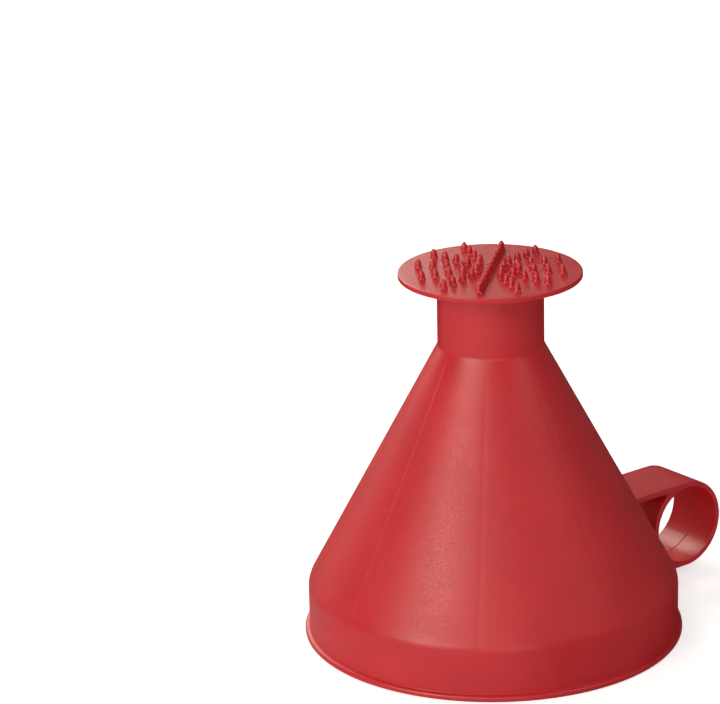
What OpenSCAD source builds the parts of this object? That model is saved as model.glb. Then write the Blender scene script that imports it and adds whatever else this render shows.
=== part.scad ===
// Cone funnel with a finger ring, and a spiked cap pushed into its spout.
// Mouth down. Z is the funnel's axis, the mouth plane is Z = 0, and the
// finger ring is on the +X side. Millimetres.

/* [Mouth and collar] */
// outside diameter of the bead round the mouth
mouth_d = 130; // [100:1:180]
// height of the mouth bead
bead_h = 2.2; // [1.5:0.1:5]
// how far the bead stands out from the collar
bead_out = 1.5; // [0.5:0.1:4]
// height where the straight collar turns into the cone
collar_top = 18.1; // [8:0.1:40]
// wall thickness, measured level
wall = 1.5; // [1:0.1:3]

/* [Cone and spout] */
// height where the cone turns into the spout
cone_top = 103; // [60:1:160]
// outside diameter of the spout
spout_d = 36; // [20:0.5:60]
// height of the spout's open end
spout_top = 126.6; // [70:0.1:200]

/* [Inner ribs] */
// number of ribs down the inside
rib_count = 8; // [0:1:16]
// width of a rib
rib_w = 1.4; // [0.8:0.1:3]
// how far a rib stands in from the wall
rib_t = 0.9; // [0.4:0.1:2]
// height where the ribs start above the mouth
rib_start = 3.5; // [2.5:0.5:10]
// gap between the ribs' ends and the spout
rib_stop = 9; // [2:1:40]

/* [Finger ring] */
// distance of the ring's centre from the funnel's axis
ring_x = 81.7; // [75:0.1:110]
// height of the ring's centre
ring_z = 19.2; // [17:0.1:40]
// inside diameter of the ring
ring_id = 27.7; // [20:0.1:40]
// wall thickness of the ring
ring_wall = 1.95; // [1:0.05:4]
// width of the ring and its straps
ring_w = 22; // [8:0.5:40]
// thickness of the two straps
strap_t = 2.1; // [1:0.1:4]

/* [Cap] */
// diameter of the cap's disc
disc_d = 62; // [40:1:100]
// thickness of the disc
disc_t = 1.75; // [1:0.05:5]
// bevel round the disc's edges
disc_bevel = 0.4; // [0:0.1:1]
// length of the spigot inside the spout
spigot_l = 9; // [4:0.5:20]
// gap all round between spigot and spout
spigot_gap = 0.05; // [0.01:0.01:0.1]
// wall thickness of the spigot
spigot_wall = 1.5; // [1:0.1:3]
// bevel at the spigot's leading edge
spigot_bevel = 0.6; // [0:0.1:1.2]

/* [Spikes] */
// rows of spikes, counted round the disc
spoke_count = 12; // [4:2:24]
// turn of the first row from the finger ring
spoke_turn = 40.5; // [0:0.5:90]
// spacing of the spikes along a row, and of the rings they form
spike_pitch = 4.88; // [3:0.02:8]
// height of a spike
spike_h = 3.2; // [1:0.1:8]
// diameter at a spike's root
spike_root_d = 2.5; // [1:0.1:4]
// diameter at a spike's tip
spike_tip_d = 1.2; // [0.4:0.1:2]
// height of the blade that joins the row across the middle
blade_h = 2.2; // [0.5:0.1:6]
// thickness of the blade
blade_t = 1.8; // [0.5:0.1:3]

/* [Hidden] */
$fn = 144;
eps = 1;                                // overshoot of a cutting solid
plastic = [0.74, 0.10, 0.13];
bead_r = mouth_d / 2;
collar_r = bead_r - bead_out;
inner_r = collar_r - wall;
spout_r = spout_d / 2;
bore_r = spout_r - wall;
cone_h = cone_top - collar_top;
disc_r = disc_d / 2;
disc_top = spout_top + disc_t;
spigot_r = bore_r - spigot_gap;
spoke_step = 360 / spoke_count;
across = spoke_count / 2;               // row opposite row 0
last_ring = 5;                          // spikes from the centre to a row's end
ring_or = ring_id / 2 + ring_wall;
strap_end = ring_x - 2.5;               // just short of where strap and ring merge
spike_fn = 24;

// ---- funnel body ----

module rim_bead()
    color(plastic) rotate_extrude() {
        translate([bead_r - bead_h / 2, bead_h / 2]) circle(d = bead_h, $fn = 32);
        translate([inner_r, 0]) square([bead_r - bead_h / 2 - inner_r, bead_h]);
    }

module collar_band()
    color(plastic) rotate_extrude()
        translate([inner_r, bead_h]) square([wall, collar_top - bead_h]);

module cone_wall()
    color(plastic) rotate_extrude()
        polygon([[inner_r, collar_top], [collar_r, collar_top],
                 [spout_r, cone_top], [bore_r, cone_top]]);

module spout_tube()
    color(plastic) rotate_extrude()
        translate([bore_r, cone_top]) square([wall, spout_top - cone_top]);

// flat radial slabs, one for each rib
module rib_slabs(from_z, to_z)
    for (i = [0 : rib_count - 1])
        rotate(i * 360 / rib_count)
            translate([bore_r / 2, -rib_w / 2, from_z])
                cube([bead_r, rib_w, to_z - from_z]);

module collar_ribs()
    color(plastic) intersection() {
        rib_slabs(rib_start, collar_top);
        rotate_extrude() translate([inner_r - rib_t, 0]) square([rib_t, collar_top + eps]);
    }

module cone_ribs()
    color(plastic) intersection() {
        rib_slabs(collar_top, cone_top - rib_stop);
        rotate_extrude()
            polygon([[inner_r - rib_t, collar_top], [inner_r, collar_top],
                     [bore_r, cone_top], [bore_r - rib_t, cone_top]]);
    }

// ---- finger ring ----

module lying_cylinder(r, w)
    translate([ring_x, w / 2, ring_z]) rotate([90, 0, 0]) cylinder(r = r, h = w);

module finger_ring()
    color(plastic) difference() {
        lying_cylinder(ring_or, ring_w);
        lying_cylinder(ring_id / 2, ring_w + 2 * eps);
    }

// a bar from low_z up, from the axis out to the ring, less the ring's own volume
module strap_bar(low_z)
    difference() {
        translate([0, -ring_w / 2, low_z]) cube([strap_end, ring_w, strap_t]);
        lying_cylinder(ring_or, ring_w + 2 * eps);
    }

module strap_upper()
    color(plastic) difference() {
        strap_bar(ring_z + ring_or - strap_t);
        translate([0, 0, collar_top]) cylinder(r1 = collar_r, r2 = spout_r, h = cone_h);
    }

module strap_lower()
    color(plastic) difference() {
        strap_bar(ring_z - ring_or);
        cylinder(r = collar_r, h = collar_top);
    }

// ---- cap ----

module cap_disc()
    color(plastic) translate([0, 0, spout_top]) rotate_extrude()
        polygon([[0, 0], [disc_r - disc_bevel, 0], [disc_r, disc_bevel],
                 [disc_r, disc_t - disc_bevel], [disc_r - disc_bevel, disc_t], [0, disc_t]]);

module cap_spigot()
    color(plastic) translate([0, 0, spout_top - spigot_l]) rotate_extrude()
        polygon([[spigot_r - spigot_wall, 0], [spigot_r - spigot_bevel, 0],
                 [spigot_r, spigot_bevel], [spigot_r, spigot_l],
                 [spigot_r - spigot_wall, spigot_l]]);

module spike(ring, spoke)
    rotate(spoke_turn + spoke * spoke_step)
        translate([ring * spike_pitch, 0, disc_top])
            cylinder(d1 = spike_root_d, d2 = spike_tip_d, h = spike_h, $fn = spike_fn);

// a whole row across the disc, joined by a low blade
module ridge_blade()
    color(plastic) union() {
        rotate(spoke_turn)
            translate([-last_ring * spike_pitch, -blade_t / 2, disc_top])
                cube([2 * last_ring * spike_pitch, blade_t, blade_h]);
        spike(0, 0);
        for (ring = [1 : last_ring], spoke = [0, across]) spike(ring, spoke);
    }

// the other rows; the inmost ring has a spike on every second row only
module spikes_ring(ring)
    color(plastic)
        for (spoke = [1 : spoke_count - 1])
            if (spoke != across && (ring > 1 || spoke % 2 == 0)) spike(ring, spoke);

rim_bead();
collar_band();
cone_wall();
spout_tube();
collar_ribs();
cone_ribs();
finger_ring();
strap_upper();
strap_lower();
cap_disc();
cap_spigot();
ridge_blade();
spikes_ring(1);  // spikes_ring_1
spikes_ring(2);  // spikes_ring_2
spikes_ring(3);  // spikes_ring_3
spikes_ring(4);  // spikes_ring_4
spikes_ring(5);  // spikes_ring_5
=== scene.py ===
import math
import random

import bmesh
import bpy
from mathutils import Matrix, Vector
from mathutils.geometry import tessellate_polygon


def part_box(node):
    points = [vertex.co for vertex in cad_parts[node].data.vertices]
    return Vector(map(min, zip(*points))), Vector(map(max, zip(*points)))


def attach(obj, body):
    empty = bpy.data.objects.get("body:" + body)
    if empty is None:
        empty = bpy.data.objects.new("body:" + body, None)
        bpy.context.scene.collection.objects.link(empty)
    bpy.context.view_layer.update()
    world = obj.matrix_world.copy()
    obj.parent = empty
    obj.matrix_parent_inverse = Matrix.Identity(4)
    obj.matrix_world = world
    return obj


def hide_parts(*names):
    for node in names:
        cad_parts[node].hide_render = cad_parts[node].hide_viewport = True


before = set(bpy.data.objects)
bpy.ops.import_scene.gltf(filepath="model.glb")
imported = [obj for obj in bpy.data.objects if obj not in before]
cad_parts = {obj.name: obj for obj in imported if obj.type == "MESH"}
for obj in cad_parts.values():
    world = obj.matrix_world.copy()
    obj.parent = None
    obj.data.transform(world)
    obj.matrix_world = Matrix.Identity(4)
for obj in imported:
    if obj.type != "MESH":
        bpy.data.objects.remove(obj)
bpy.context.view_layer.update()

# A cone funnel with a finger ring, and a spiked cap pushed into its spout. Lengths are in metres.
MM = 0.001

# Driving sizes that the frame doesn't hold.
WALL = 1.5 * MM
RIB_COUNT = 8
RIB_HALF_W = 0.7 * MM
RIB_PROUD = 0.9 * MM
RING_WALL = 1.95 * MM
SPIGOT_WALL = 1.5 * MM
SPOKES = 12
SPOKE_TURN = math.radians(40.5)
LAST_RING = 5
SPIKE_ROOT_R = 1.25 * MM
SPIKE_SUNK = 0.3 * MM                # how far spikes and blade go into the disc
SPIKE_LEAN = 0.02                    # the most that a spike leans, in radians
BLADE_HALF_T = 0.9 * MM
BLADE_H = 2.2 * MM

# Marks that moulding leaves: sink lines, the cone's parting lines and the parting line in the ring's hole.
SINK_DEPTH = 0.06 * MM
SINK_HALF_W = 1.0 * MM
PARTING_H = 0.16 * MM
PARTING_HALF_W = 0.4 * MM
SEAM_H = 0.16 * MM

RED = (0.70, 0.0118, 0.0230)

random.seed(7)


# ---- sizes read from the frame ----

def top(node):
    """Height of the node's highest point."""
    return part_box(node)[1].z


def reach(node):
    """The node's furthest point along +X."""
    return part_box(node)[1].x


BEAD_R, BEAD_H = reach("rim_bead"), top("rim_bead")
COLLAR_R, COLLAR_TOP = reach("collar_band"), top("collar_band")
CONE_TOP = top("cone_wall")
SPOUT_R, SPOUT_TOP = reach("spout_tube"), top("spout_tube")
INNER_R, BORE_R = COLLAR_R - WALL, SPOUT_R - WALL
DISC_R, DISC_TOP = reach("cap_disc"), top("cap_disc")
SPIGOT_R, SPIGOT_LOW = reach("cap_spigot"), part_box("cap_spigot")[0].z
RIB_LOW, RIB_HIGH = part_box("collar_ribs")[0].z, top("cone_ribs")
SPIKE_TOP = top("spikes_ring_5")
PITCH = (reach("spikes_ring_5") - SPIKE_ROOT_R) / (
    LAST_RING * math.cos(SPOKE_TURN - math.tau / SPOKES))
RING_LOW, RING_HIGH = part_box("finger_ring")
RING_OR = (RING_HIGH.x - RING_LOW.x) / 2
RING_X, RING_Z = (RING_HIGH.x + RING_LOW.x) / 2, (RING_HIGH.z + RING_LOW.z) / 2
RING_W = RING_HIGH.y - RING_LOW.y
STRAP_T = top("strap_upper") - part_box("strap_upper")[0].z


# ---- outlines ----

def rounded(corners, step=math.radians(12)):
    """A closed outline from (x, y, radius) corners, each an arc, or a sharp point where the radius is 0."""
    path = []
    for i, (x, y, r) in enumerate(corners):
        if r <= 0:
            path.append((x, y))
            continue
        p = Vector((x, y))
        a = (Vector(corners[i - 1][:2]) - p).normalized()
        b = (Vector(corners[(i + 1) % len(corners)][:2]) - p).normalized()
        half = a.angle(b) / 2
        centre = p + (a + b).normalized() * (r / math.sin(half))
        start, end = p + a * (r / math.tan(half)) - centre, p + b * (r / math.tan(half)) - centre
        a0 = math.atan2(start.y, start.x)
        sweep = (math.atan2(end.y, end.x) - a0 + math.pi) % math.tau - math.pi
        path += arc(centre, r, a0, a0 + sweep, max(2, math.ceil(abs(sweep) / step)))
    return path


def arc(centre, r, a0, a1, steps):
    """Points along an arc from turn a0 to turn a1."""
    turns = [a0 + (a1 - a0) * k / steps for k in range(steps + 1)]
    return [(centre[0] + r * math.cos(t), centre[1] + r * math.sin(t)) for t in turns]


def divided(path, longest):
    """The closed path with points added along its long stretches."""
    out = []
    for i, p in enumerate(path):
        q = path[(i + 1) % len(path)]
        n = max(1, math.ceil(math.dist(p, q) / longest))
        out += [(p[0] + (q[0] - p[0]) * k / n, p[1] + (q[1] - p[1]) * k / n) for k in range(n)]
    return out


def fade(x, low, high):
    """0 below low, 1 above high, and smooth between them."""
    t = min(1, max(0, (x - low) / (high - low)))
    return t * t * (3 - 2 * t)


# ---- meshes ----

def lathe(bm, path, angles, place=None, shape=None):
    """
    Turns a closed outline of (radius, height) round Z. Points on the axis become one vertex.
    shape gives a point's radius from its radius, height and turn, and place moves the whole.
    """
    rings = []
    for r, z in path:
        if r < 1e-7:
            points = [(0, 0, z)]
        else:
            points = []
            for t in angles:
                rr = shape(r, z, t) if shape else r
                points.append((rr * math.cos(t), rr * math.sin(t), z))
        rings.append([bm.verts.new(place @ Vector(p) if place else p) for p in points])
    for a, b in zip(rings, rings[1:] + rings[:1]):
        if len(a) == len(b) == 1:
            continue
        for i in range(len(angles)):
            j = (i + 1) % len(angles)
            corners = [a[i % len(a)], a[j % len(a)], b[j % len(b)], b[i % len(b)]]
            corners = [v for k, v in enumerate(corners) if v is not corners[k - 1]]
            bm.faces.new(corners)


def turn_steps(n):
    """Even turns round a whole circle."""
    return [math.tau * i / n for i in range(n)]


def join_loops(bm, loops):
    """Faces between each closed loop of vertices and the next."""
    for a, b in zip(loops, loops[1:]):
        for k in range(len(a)):
            m = (k + 1) % len(a)
            bm.faces.new((a[k], a[m], b[m], b[k]))


def closed_bar(bm, loops):
    """A closed solid along a row of loops."""
    join_loops(bm, loops)
    bm.faces.new(loops[0])
    bm.faces.new(list(reversed(loops[-1])))


def mark_edges(bm):
    """Writes each vertex's sharpest outward curve, in 1/m, to the attribute that the painted edge highlight
    reads.
    """
    layer = bm.verts.layers.float.new("curve")
    for edge in bm.edges:
        if len(edge.link_faces) == 2:
            width = sum(f.calc_area() for f in edge.link_faces) / (2 * edge.calc_length())
            curve = edge.calc_face_angle_signed() / width
            for v in edge.verts:
                v[layer] = max(v[layer], curve)


def new_object(name, bm, material):
    """An object in the scene from a bmesh, which it uses up."""
    mesh = bpy.data.meshes.new(name)
    bm.to_mesh(mesh)
    bm.free()
    mesh.materials.append(material)
    thing = bpy.data.objects.new(name, mesh)
    bpy.context.scene.collection.objects.link(thing)
    return thing


def finish_piece(name, bm, material, body, replaced, weighted=True):
    """Makes a visible piece that rides a body and stands for the CAD nodes it replaces."""
    bmesh.ops.recalc_face_normals(bm, faces=bm.faces)
    mark_edges(bm)
    piece = new_object(name, bm, material)
    piece.data.polygons.foreach_set("use_smooth", [True] * len(piece.data.polygons))
    if weighted:
        normals = piece.modifiers.new("normals", "WEIGHTED_NORMAL")
        normals.weight = 80
    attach(piece, body)
    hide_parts(*replaced)


# ---- funnel body ----

def rib_sector_angles():
    """Angles round the funnel, close together at the ribs and wider between them."""
    near = [0, .25, .5, .75, 1, 1.3, 1.7, 2.2, 2.8, 3.6, 4.6, 5.8]
    wide = [7.2 + 1.53 * k for k in range(10)]
    side = near + wide
    offsets = [-d for d in reversed(side[1:])] + side + [22.5]
    return [math.radians(45 * i + d) for i in range(RIB_COUNT) for d in offsets]


def outer_radius(z):
    """The cone's outside radius at a height."""
    return COLLAR_R + (SPOUT_R - COLLAR_R) * (z - COLLAR_TOP) / (CONE_TOP - COLLAR_TOP)


def to_nearest(turn, step):
    """How far a turn is from the nearest multiple of step."""
    return abs((turn + step / 2) % step - step / 2)


def mark(distance, half_width):
    """The rounded profile of a narrow mark, 1 at its middle."""
    return math.exp(-(distance / half_width) ** 2)


def with_mould_marks(r, z, turn):
    """The radius with sink lines behind the inner ribs, and raised parting lines at +X and -X on the cone."""
    off = to_nearest(turn, math.tau / RIB_COUNT) * r
    outside = r > (outer_radius(max(z, COLLAR_TOP)) if z < CONE_TOP else SPOUT_R) - WALL / 2
    if not outside or off > 4 * SINK_HALF_W or z < BEAD_H:
        return r
    ribbed = fade(z, COLLAR_TOP - 12 * MM, COLLAR_TOP) * (1 - fade(z, RIB_HIGH - 3 * MM, RIB_HIGH + 4 * MM))
    on_cone = fade(z, COLLAR_TOP, COLLAR_TOP + 4 * MM) * (1 - fade(z, CONE_TOP - 3 * MM, CONE_TOP))
    sunk = SINK_DEPTH * ribbed * mark(off, SINK_HALF_W)
    parting = PARTING_H * on_cone * mark(to_nearest(turn, math.pi) * r, PARTING_HALF_W)
    return r - sunk + parting


def funnel_body(material):
    """Bead, collar, cone and spout as one turned wall."""
    path = rounded([
        (INNER_R, 0, 0.5 * MM), (BEAD_R, 0, 0.95 * MM), (BEAD_R, BEAD_H, 0.95 * MM),
        (COLLAR_R, BEAD_H, 0.3 * MM), (COLLAR_R, COLLAR_TOP, 6 * MM),
        (SPOUT_R, CONE_TOP, 2.5 * MM), (SPOUT_R, SPOUT_TOP, 0.35 * MM),
        (BORE_R, SPOUT_TOP, 0.3 * MM), (BORE_R, CONE_TOP, 1.5 * MM),
        (INNER_R, COLLAR_TOP, 0.3 * MM)])
    bm = bmesh.new()
    lathe(bm, divided(path, 5 * MM), rib_sector_angles(), shape=with_mould_marks)
    finish_piece("funnel_shell", bm, material, "funnel",
                 ["rim_bead", "collar_band", "cone_wall", "spout_tube"])


def inner_ribs(material):
    """Low ribs from near the mouth, up the collar and on up the cone, their roots sunk into the wall."""
    sunk = 0.5 * MM
    in_r = outer_radius(RIB_HIGH) - WALL
    outline = rounded([
        (INNER_R + sunk, RIB_LOW, 0), (INNER_R + sunk, COLLAR_TOP, 0), (in_r + sunk, RIB_HIGH, 0),
        (in_r, RIB_HIGH, 0.1 * MM), (in_r - RIB_PROUD, RIB_HIGH - 1.5 * MM, 2 * MM),
        (INNER_R - RIB_PROUD, COLLAR_TOP, 0.6 * MM), (INNER_R - RIB_PROUD, RIB_LOW + 1.2 * MM, 0.8 * MM),
        (INNER_R, RIB_LOW, 0.1 * MM)])
    across = [(-1, 0.25 * MM), (-0.92, 0.08 * MM), (-0.7, 0), (0.7, 0), (0.92, 0.08 * MM), (1, 0.25 * MM)]
    bm = bmesh.new()
    for i in range(RIB_COUNT):
        spin = Matrix.Rotation(i * math.tau / RIB_COUNT, 3, "Z")
        loops = []
        for side, inset in across:
            y = side * RIB_HALF_W
            loops.append([bm.verts.new(spin @ Vector((r + inset, y, z))) for r, z in outline])
        closed_bar(bm, loops)
    finish_piece("inner_ribs", bm, material, "funnel", ["collar_ribs", "cone_ribs"])


# ---- finger ring and its straps ----

def ring_outline():
    """The ring's outside and both straps as one outline in X and Z, with filled inner corners."""
    fillet = 0.9 * MM
    root_low = COLLAR_R - WALL / 2
    high, low = RING_Z + RING_OR, RING_Z - RING_OR
    under, over = high - STRAP_T, low + STRAP_T
    root_high = outer_radius(under) - WALL / 2
    side = RING_OR - STRAP_T - fillet
    fx = RING_X - math.sqrt((RING_OR + fillet) ** 2 - side ** 2)
    lean = math.atan2(side, fx - RING_X)
    centre = (RING_X, RING_Z)
    path = [(root_high - 1 * MM, high)]
    path += arc(centre, RING_OR, math.pi / 2, -math.pi / 2, 64)
    path += [(root_low, low), (root_low, over)]
    path += arc((fx, RING_Z - side), fillet, -math.pi / 2, math.pi - lean, 8)[:-1]
    path += arc(centre, RING_OR, math.tau - lean, lean, 40)
    path += arc((fx, RING_Z + side), fillet, lean - math.pi, math.pi / 2, 8)[1:]
    path += [(root_high, under)]
    return list(reversed(divided(path, 4 * MM)))


def normals_of(path):
    """Unit normals of a closed outline that runs anticlockwise round its solid."""
    out = []
    for i, p in enumerate(path):
        a, b = Vector(path[i - 1]), Vector(path[(i + 1) % len(path)])
        d = (b - a).normalized()
        out.append(Vector((d.y, -d.x)))
    return out


def width_stations(edge, seam_h):
    """(place across the width, how far the surface stands out): round edges, and a seam in the middle."""
    half = RING_W / 2
    steps = [(half - edge * (1 - math.cos(t)), -edge * (1 - math.sin(t)))
             for t in (math.pi / 2 * k / 4 for k in range(5))]
    seam = [(0.28 * MM, 0), (0.14 * MM, seam_h * 0.4), (0.05 * MM, seam_h)]
    right = steps + [(4 * MM, 0)] + seam
    return [(-y, o) for y, o in right] + [(y, o) for y, o in reversed(right)]


def wide_loops(bm, path, edge, seam_h):
    """The path's loops of vertices across the ring's width, joined by faces."""
    out = normals_of(path)
    loops = []
    for y, stand in width_stations(edge, seam_h):
        points = [Vector(p) + n * stand for p, n in zip(path, out)]
        loops.append([bm.verts.new((p.x, y, p.y)) for p in points])
    join_loops(bm, loops)
    return loops


def finger_ring(material):
    """The ring and its straps in one, the two outlines joined by flat ends."""
    hole_r = RING_OR - RING_WALL
    hole = [(RING_X + hole_r * math.cos(t), RING_Z + hole_r * math.sin(t)) for t in reversed(turn_steps(96))]
    bm = bmesh.new()
    outer = wide_loops(bm, ring_outline(), 0.6 * MM, 0)
    inner = wide_loops(bm, hole, 0.3 * MM, SEAM_H)
    for end in (0, -1):
        loops = [outer[end], inner[end]]
        flat = [v for loop in loops for v in loop]
        for tri in tessellate_polygon([[v.co for v in loop] for loop in loops]):
            bm.faces.new([flat[k] for k in tri])
    finish_piece("finger_loop", bm, material, "funnel",
                 ["finger_ring", "strap_upper", "strap_lower"])


# ---- cap ----

def cap_body(material):
    """The disc and the hollow spigot under it as one turned solid."""
    edge = 0.4 * MM
    path = rounded([
        (0, DISC_TOP, 0), (DISC_R, DISC_TOP, edge), (DISC_R, SPOUT_TOP, edge),
        (SPIGOT_R, SPOUT_TOP, 0.02 * MM), (SPIGOT_R, SPIGOT_LOW, 0.5 * MM),
        (SPIGOT_R - SPIGOT_WALL, SPIGOT_LOW, 0.4 * MM),
        (SPIGOT_R - SPIGOT_WALL, SPOUT_TOP, 0.5 * MM), (0, SPOUT_TOP, 0)])
    bm = bmesh.new()
    lathe(bm, divided(path, 4 * MM), turn_steps(240))
    finish_piece("cap_plate", bm, material, "cap", ["cap_disc", "cap_spigot"])


def spike_outline(height):
    """A blunt bud shape that flares a little where it meets the disc."""
    flare, steps = 0.3 * MM, 14
    root = SPIKE_ROOT_R + flare
    side = [(root, -SPIKE_SUNK), (root, 0), (SPIKE_ROOT_R + flare / 4, 0.12 * MM)]
    for k in range(1, steps):
        t = math.sin(math.pi / 2 * (0.1 + 0.9 * k / steps))
        side.append((SPIKE_ROOT_R * (1 - 0.2 * t) * math.sqrt(1 - t ** 3.2), height * t))
    return [(0, -SPIKE_SUNK)] + side + [(0, height)]


def add_spike(bm, ring, spoke):
    """One spike, a little off upright and a little under full height."""
    turn = SPOKE_TURN + spoke * math.tau / SPOKES
    spot = Vector((ring * PITCH * math.cos(turn), ring * PITCH * math.sin(turn), DISC_TOP))
    lean_x = random.uniform(-SPIKE_LEAN, SPIKE_LEAN)
    lean_y = random.uniform(-SPIKE_LEAN, SPIKE_LEAN)
    lean = Matrix.Rotation(lean_x, 4, "X") @ Matrix.Rotation(lean_y, 4, "Y")
    height = (SPIKE_TOP - DISC_TOP) * random.uniform(0.97, 0.995)
    lathe(bm, spike_outline(height), turn_steps(20), place=Matrix.Translation(spot) @ lean)


def spike_rings(material):
    """The rows other than the ridge, as rings. The inmost ring has a spike on every second row only."""
    for ring in range(1, LAST_RING + 1):
        bm = bmesh.new()
        for spoke in range(1, SPOKES):
            if spoke != SPOKES // 2 and (ring > 1 or spoke % 2 == 0):
                add_spike(bm, ring, spoke)
        finish_piece(f"spikes_{ring}", bm, material, "cap",
                     [f"spikes_ring_{ring}"], weighted=False)


def ridge(material):
    """The row across the middle, its spikes joined by a low round-topped blade."""
    half, steps = LAST_RING * PITCH, 24
    flare = 0.3 * MM
    foot = BLADE_HALF_T + flare
    crest = BLADE_HALF_T * 0.8
    section = rounded([
        (-foot, -SPIKE_SUNK, 0), (foot, -SPIKE_SUNK, 0),
        (foot, 0, 0), (BLADE_HALF_T, flare, 0.2 * MM),
        (crest, BLADE_H, 0.5 * MM), (-crest, BLADE_H, 0.5 * MM),
        (-BLADE_HALF_T, flare, 0.2 * MM), (-foot, 0, 0)])
    place = Matrix.Translation((0, 0, DISC_TOP)) @ Matrix.Rotation(SPOKE_TURN, 4, "Z")
    bm = bmesh.new()
    loops = [[bm.verts.new(place @ Vector((x, y, z))) for y, z in section]
             for x in (half * k / steps for k in range(-steps, steps + 1))]
    closed_bar(bm, loops)
    for ring in range(LAST_RING + 1):
        for spoke in ([0, SPOKES // 2] if ring else [0]):
            add_spike(bm, ring, spoke)
    finish_piece("spike_ridge", bm, material, "cap", ["ridge_blade"])


# ---- materials ----

class Nodes:
    """Short calls for building a node tree."""

    def __init__(self, name):
        self.material = bpy.data.materials.new(name)
        self.material.use_nodes = True
        self.tree = self.material.node_tree
        self.tree.nodes.clear()
        self.shader = self.add("ShaderNodeBsdfPrincipled")
        out = self.add("ShaderNodeOutputMaterial")
        self.link(self.shader.outputs[0], out.inputs["Surface"])
        self.place = self.add("ShaderNodeTexCoord").outputs["Object"]

    def add(self, kind, **settings):
        node = self.tree.nodes.new(kind)
        for key, value in settings.items():
            setattr(node, key, value)
        return node

    def link(self, a, b):
        self.tree.links.new(a, b)

    def noise(self, scale, detail=2.0, rough=0.5, stretch=None):
        node = self.add("ShaderNodeTexNoise")
        node.inputs["Scale"].default_value = scale
        node.inputs["Detail"].default_value = detail
        node.inputs["Roughness"].default_value = rough
        source = self.place
        if stretch:
            mapping = self.add("ShaderNodeMapping")
            mapping.inputs["Scale"].default_value = stretch
            self.link(self.place, mapping.inputs["Vector"])
            source = mapping.outputs[0]
        self.link(source, node.inputs["Vector"])
        return node.outputs["Fac"]

    def ramp(self, value, low, high, to_low=0.0, to_high=1.0):
        node = self.add("ShaderNodeMapRange")
        self.link(value, node.inputs["Value"])
        for key, number in (("From Min", low), ("From Max", high), ("To Min", to_low), ("To Max", to_high)):
            node.inputs[key].default_value = number
        return node.outputs["Result"]

    def maths(self, kind, a, b):
        node = self.add("ShaderNodeMath", operation=kind)
        for socket, value in zip(node.inputs, (a, b)):
            if isinstance(value, (int, float)):
                socket.default_value = value
            else:
                self.link(value, socket)
        return node.outputs[0]

    def blend(self, factor, a, b):
        node = self.add("ShaderNodeMix", data_type="RGBA")
        self.link(factor, node.inputs["Factor"])
        for index, value in ((6, a), (7, b)):
            if isinstance(value, tuple):
                node.inputs[index].default_value = (*value, 1)
            else:
                self.link(value, node.inputs[index])
        return node.outputs[2]

    def bump(self, height, strength, distance, normal=None):
        node = self.add("ShaderNodeBump")
        node.inputs["Strength"].default_value = strength
        node.inputs["Distance"].default_value = distance
        self.link(height, node.inputs["Height"])
        if normal:
            self.link(normal, node.inputs["Normal"])
        return node.outputs[0]


def cone_zone(n):
    """1 on most of the cone, fading to 0 at its foot and towards its top."""
    height = n.add("ShaderNodeSeparateXYZ")
    n.link(n.place, height.inputs[0])
    z = height.outputs["Z"]
    rise = n.ramp(z, COLLAR_TOP - 1 * MM, COLLAR_TOP + 3 * MM)
    return n.maths("MULTIPLY", rise, n.ramp(z, CONE_TOP - 18 * MM, CONE_TOP, 1, 0))


def plastic_colour(n, base):
    """Colour that drifts a little, with a painted highlight that turns the sharpest edges paler."""
    dark = tuple(c * 0.9 for c in base)
    # Painted highlight: the sharpest edges are tinted paler, in blotches, as if they catch the light.
    highlight_colour = (base[0] * 1.15, base[1] * 4, base[2] * 4)
    drift = n.blend(n.ramp(n.noise(35, 3), 0.35, 0.65), dark, base)
    curve = n.add("ShaderNodeAttribute", attribute_name="curve").outputs["Fac"]
    painted_edge_highlight = n.maths("MULTIPLY", n.ramp(curve, 900, 2400), n.ramp(n.noise(400, 3), 0.35, 0.6, 0.1, 0.5))
    return n.blend(painted_edge_highlight, drift, highlight_colour)


def plastic_gloss(n, rough, grain):
    """Roughness with soft blotches, faint upright scratches and fine specks."""
    blotch = n.ramp(n.noise(60, 4), 0.3, 0.7, rough - 0.03, rough + 0.04)
    scratch = n.ramp(n.noise(300, 2, stretch=(1, 1, 12)), 0.62, 0.72, 0, 0.05)
    speck = n.ramp(n.noise(1900, 2, 0.6), 0.35, 0.65, -grain * 0.16, grain * 0.16)
    return n.maths("ADD", n.maths("ADD", blotch, scratch), speck)


def plastic(name, base, rough, grain, wave=0.25, streak=None, cone=None):
    """
    Moulded plastic with fine mould grain over slow waves. streak sets how close the waves are along each
    axis, and cone is what the grained cone adds to the roughness and to the grain.
    """
    n = Nodes(name)
    gloss = plastic_gloss(n, rough, grain)
    waves = n.bump(n.noise(90, 2, stretch=streak), wave, 0.15 * MM)
    fine = n.bump(n.noise(2200, 2, 0.6), grain, 0.12 * MM, waves)
    if cone:
        zone = cone_zone(n)
        grain_height = n.noise(1700, 1, 0.5)
        more_speck = n.ramp(grain_height, 0.35, 0.65, 0.5 * cone[0], 1.5 * cone[0])
        gloss = n.maths("ADD", gloss, n.maths("MULTIPLY", zone, more_speck))
        fine = n.bump(n.maths("MULTIPLY", zone, grain_height), cone[1], 0.12 * MM, fine)
    n.link(plastic_colour(n, base), n.shader.inputs["Base Color"])
    n.link(gloss, n.shader.inputs["Roughness"])
    n.link(fine, n.shader.inputs["Normal"])
    n.shader.inputs["IOR"].default_value = 1.49
    n.shader.inputs["Specular IOR Level"].default_value = 0.9
    return n.material


def glowing(name, colour):
    """A black material that only gives light. The caller sets its emission strength."""
    n = Nodes(name)
    n.shader.inputs["Base Color"].default_value = (0, 0, 0, 1)
    n.shader.inputs["Specular IOR Level"].default_value = 0
    n.shader.inputs["Emission Color"].default_value = (*colour, 1)
    return n


# ---- stage ----

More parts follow.
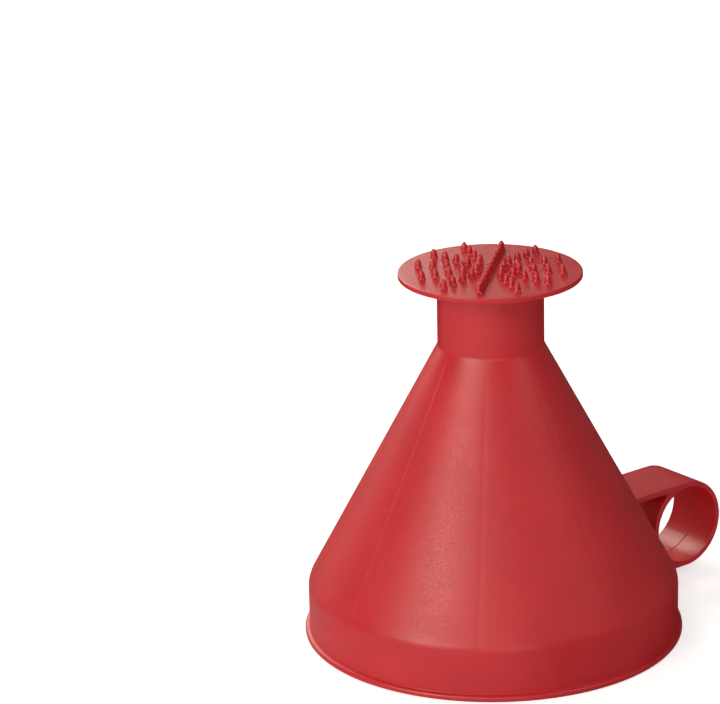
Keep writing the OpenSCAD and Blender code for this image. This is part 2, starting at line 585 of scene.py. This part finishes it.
VIEW_TURN = math.radians(38.14)      # from the camera's right round to the finger ring
RIGHT = Vector((math.cos(VIEW_TURN), -math.sin(VIEW_TURN), 0))
AWAY = Vector((math.sin(VIEW_TURN), math.cos(VIEW_TURN), 0))
UP = Vector((0, 0, 1))


def from_camera(right, away, up):
    """A direction or place given as the camera sees it."""
    return RIGHT * right + AWAY * away + UP * up


def hide_from(thing, *rays):
    for ray in rays:
        setattr(thing, f"visible_{ray}", False)


def floor_sheet(name, height, glow, far_glow):
    """A large pale sheet, faintly uneven in tone. The glow is its own light, near the object and far off."""
    n = Nodes(name)
    tone = n.blend(n.ramp(n.noise(3, 2), 0.3, 0.7), (0.90, 0.90, 0.90), (0.94, 0.94, 0.94))
    n.link(tone, n.shader.inputs["Base Color"])
    n.shader.inputs["Roughness"].default_value = 0.9
    n.shader.inputs["Specular IOR Level"].default_value = 0.1
    n.shader.inputs["Emission Color"].default_value = (0.94, 0.96, 1, 1)
    away = n.add("ShaderNodeVectorMath", operation="LENGTH")
    n.link(n.place, away.inputs[0])
    n.link(n.ramp(away.outputs["Value"], 0.5, 2.5, glow, far_glow), n.shader.inputs["Emission Strength"])
    bm = bmesh.new()
    bmesh.ops.create_grid(bm, x_segments=1, y_segments=1, size=12)
    bmesh.ops.translate(bm, verts=bm.verts, vec=(0, 0, height))
    return new_object(name, bm, n.material)


def floor_glow():
    """A disc just under the floor for reflections: pale at the front left, dark at the right and behind."""
    n = glowing("floor_glow", (1, 0.98, 0.92))
    way = n.add("ShaderNodeVectorMath", operation="NORMALIZE")
    n.link(n.place, way.inputs[0])
    front_left = n.add("ShaderNodeVectorMath", operation="DOT_PRODUCT")
    n.link(way.outputs[0], front_left.inputs[0])
    front_left.inputs[1].default_value = from_camera(-0.87, -0.5, 0)
    n.link(n.ramp(front_left.outputs["Value"], 0.1, 0.8, 0, 0.34), n.shader.inputs["Emission Strength"])
    bm = bmesh.new()
    bmesh.ops.create_circle(bm, cap_ends=True, segments=64, radius=0.6)
    bmesh.ops.translate(bm, verts=bm.verts, vec=(0, 0, -0.5 * MM))
    return new_object("floor_glow", bm, n.material)


def backdrop():
    """A far white dome round everything."""
    n = glowing("backdrop", (1, 1, 1))
    n.shader.inputs["Emission Strength"].default_value = 0.95
    bm = bmesh.new()
    bmesh.ops.create_uvsphere(bm, u_segments=48, v_segments=24, radius=11)
    return new_object("backdrop", bm, n.material)


def stage():
    """
    The camera sees the bright floor and the dome. The sheet under the floor lights the object, and
    reflections see only the glow.
    """
    floor = floor_sheet("floor", 0, 0.64, 1)
    bounce = floor_sheet("floor_bounce", -1 * MM, 0.10, 0.10)
    glow = floor_glow()
    dome = backdrop()
    hide_from(floor, "diffuse", "glossy", "transmission", "shadow")
    hide_from(bounce, "camera", "glossy")
    hide_from(glow, "camera", "diffuse", "transmission", "shadow")
    hide_from(dome, "diffuse", "glossy", "transmission", "shadow")


# ---- lights and camera ----

LIGHT_DISTANCE = 1.9
AIM_H = 0.06                         # height on the funnel's axis that every light points at


def softbox(name, turn, rise, size, power):
    """A square softbox; turn is degrees to the right of the camera's side, rise degrees above the floor."""
    a, e = math.radians(turn), math.radians(rise)
    level = LIGHT_DISTANCE * math.cos(e)
    spot = from_camera(level * math.sin(a), -level * math.cos(a), AIM_H + LIGHT_DISTANCE * math.sin(e))
    data = bpy.data.lights.new(name, "AREA")
    data.shape = "RECTANGLE"
    data.size = data.size_y = size
    data.energy = power
    data.color = (1, 0.97, 0.84)
    lamp = bpy.data.objects.new(name, data)
    lamp.location = spot
    lamp.rotation_euler = (AIM_H * UP - spot).to_track_quat("-Z", "Y").to_euler()
    hide_from(lamp, "camera")
    bpy.context.scene.collection.objects.link(lamp)


def lights():
    """The key is at the front left. The back ones graze the disc and the strap, and the world fills in."""
    softbox("key", -46, 27, 0.8, 10.9)
    softbox("key_low", -40, 12, 0.6, 3.1)
    softbox("key_edge", -22, 36, 0.5, 2.3)
    softbox("rim", -134, 10, 0.6, 1.6)
    softbox("front", 5, 14, 0.9, 3.6)
    softbox("side", 66, 45, 0.9, 4.4)
    softbox("back", -148, 42, 1.1, 15)
    softbox("back_low", -168, 13, 0.8, 5.2)
    softbox("top", 0, 88, 1.6, 2.0)
    world = bpy.data.worlds.new("studio")
    world.use_nodes = True
    background = world.node_tree.nodes["Background"]
    background.inputs["Color"].default_value = (1, 1, 1, 1)
    background.inputs["Strength"].default_value = 0.09
    bpy.context.scene.world = world
    bpy.context.scene.view_settings.view_transform = "Standard"


def camera():
    """A long lens at the photograph's angle: a little above, the ring behind on the right."""
    tilt, roll = 0.326823, 0.0223898                 # radians
    shift_right, shift_up = 0.044700, -0.028060      # where the funnel stands in the picture
    distance = 1.173679
    target = Vector((0, 0, 0.07))
    up = math.sin(tilt) * AWAY + math.cos(tilt) * UP
    ahead = math.cos(tilt) * AWAY - math.sin(tilt) * UP
    across = math.cos(roll) * RIGHT - math.sin(roll) * up
    above = math.sin(roll) * RIGHT + math.cos(roll) * up
    data = bpy.data.cameras.new("camera")
    data.sensor_width = 36
    data.lens = 172.9074
    data.clip_start, data.clip_end = 0.05, 50
    cam = bpy.data.objects.new("camera", data)
    spot = target - shift_right * across - shift_up * above - distance * ahead
    turn = Matrix((across, above, -ahead)).transposed().to_4x4()
    cam.matrix_world = Matrix.Translation(spot) @ turn
    bpy.context.scene.collection.objects.link(cam)
    bpy.context.scene.camera = cam


camera()
shell_red = plastic("red_shell", RED, 0.38, 0.10, cone=(0.10, 0.22))
ring_red = plastic("red_ring", RED, 0.38, 0.12, wave=1.0, streak=(4, 0.7, 4))
cap_red = plastic("red_cap", RED, 0.33, 0.45, wave=0.7)
spike_red = plastic("red_spikes", RED, 0.24, 0.05)
funnel_body(shell_red)
inner_ribs(shell_red)
finger_ring(ring_red)
cap_body(cap_red)
spike_rings(spike_red)
ridge(spike_red)
stage()
lights()
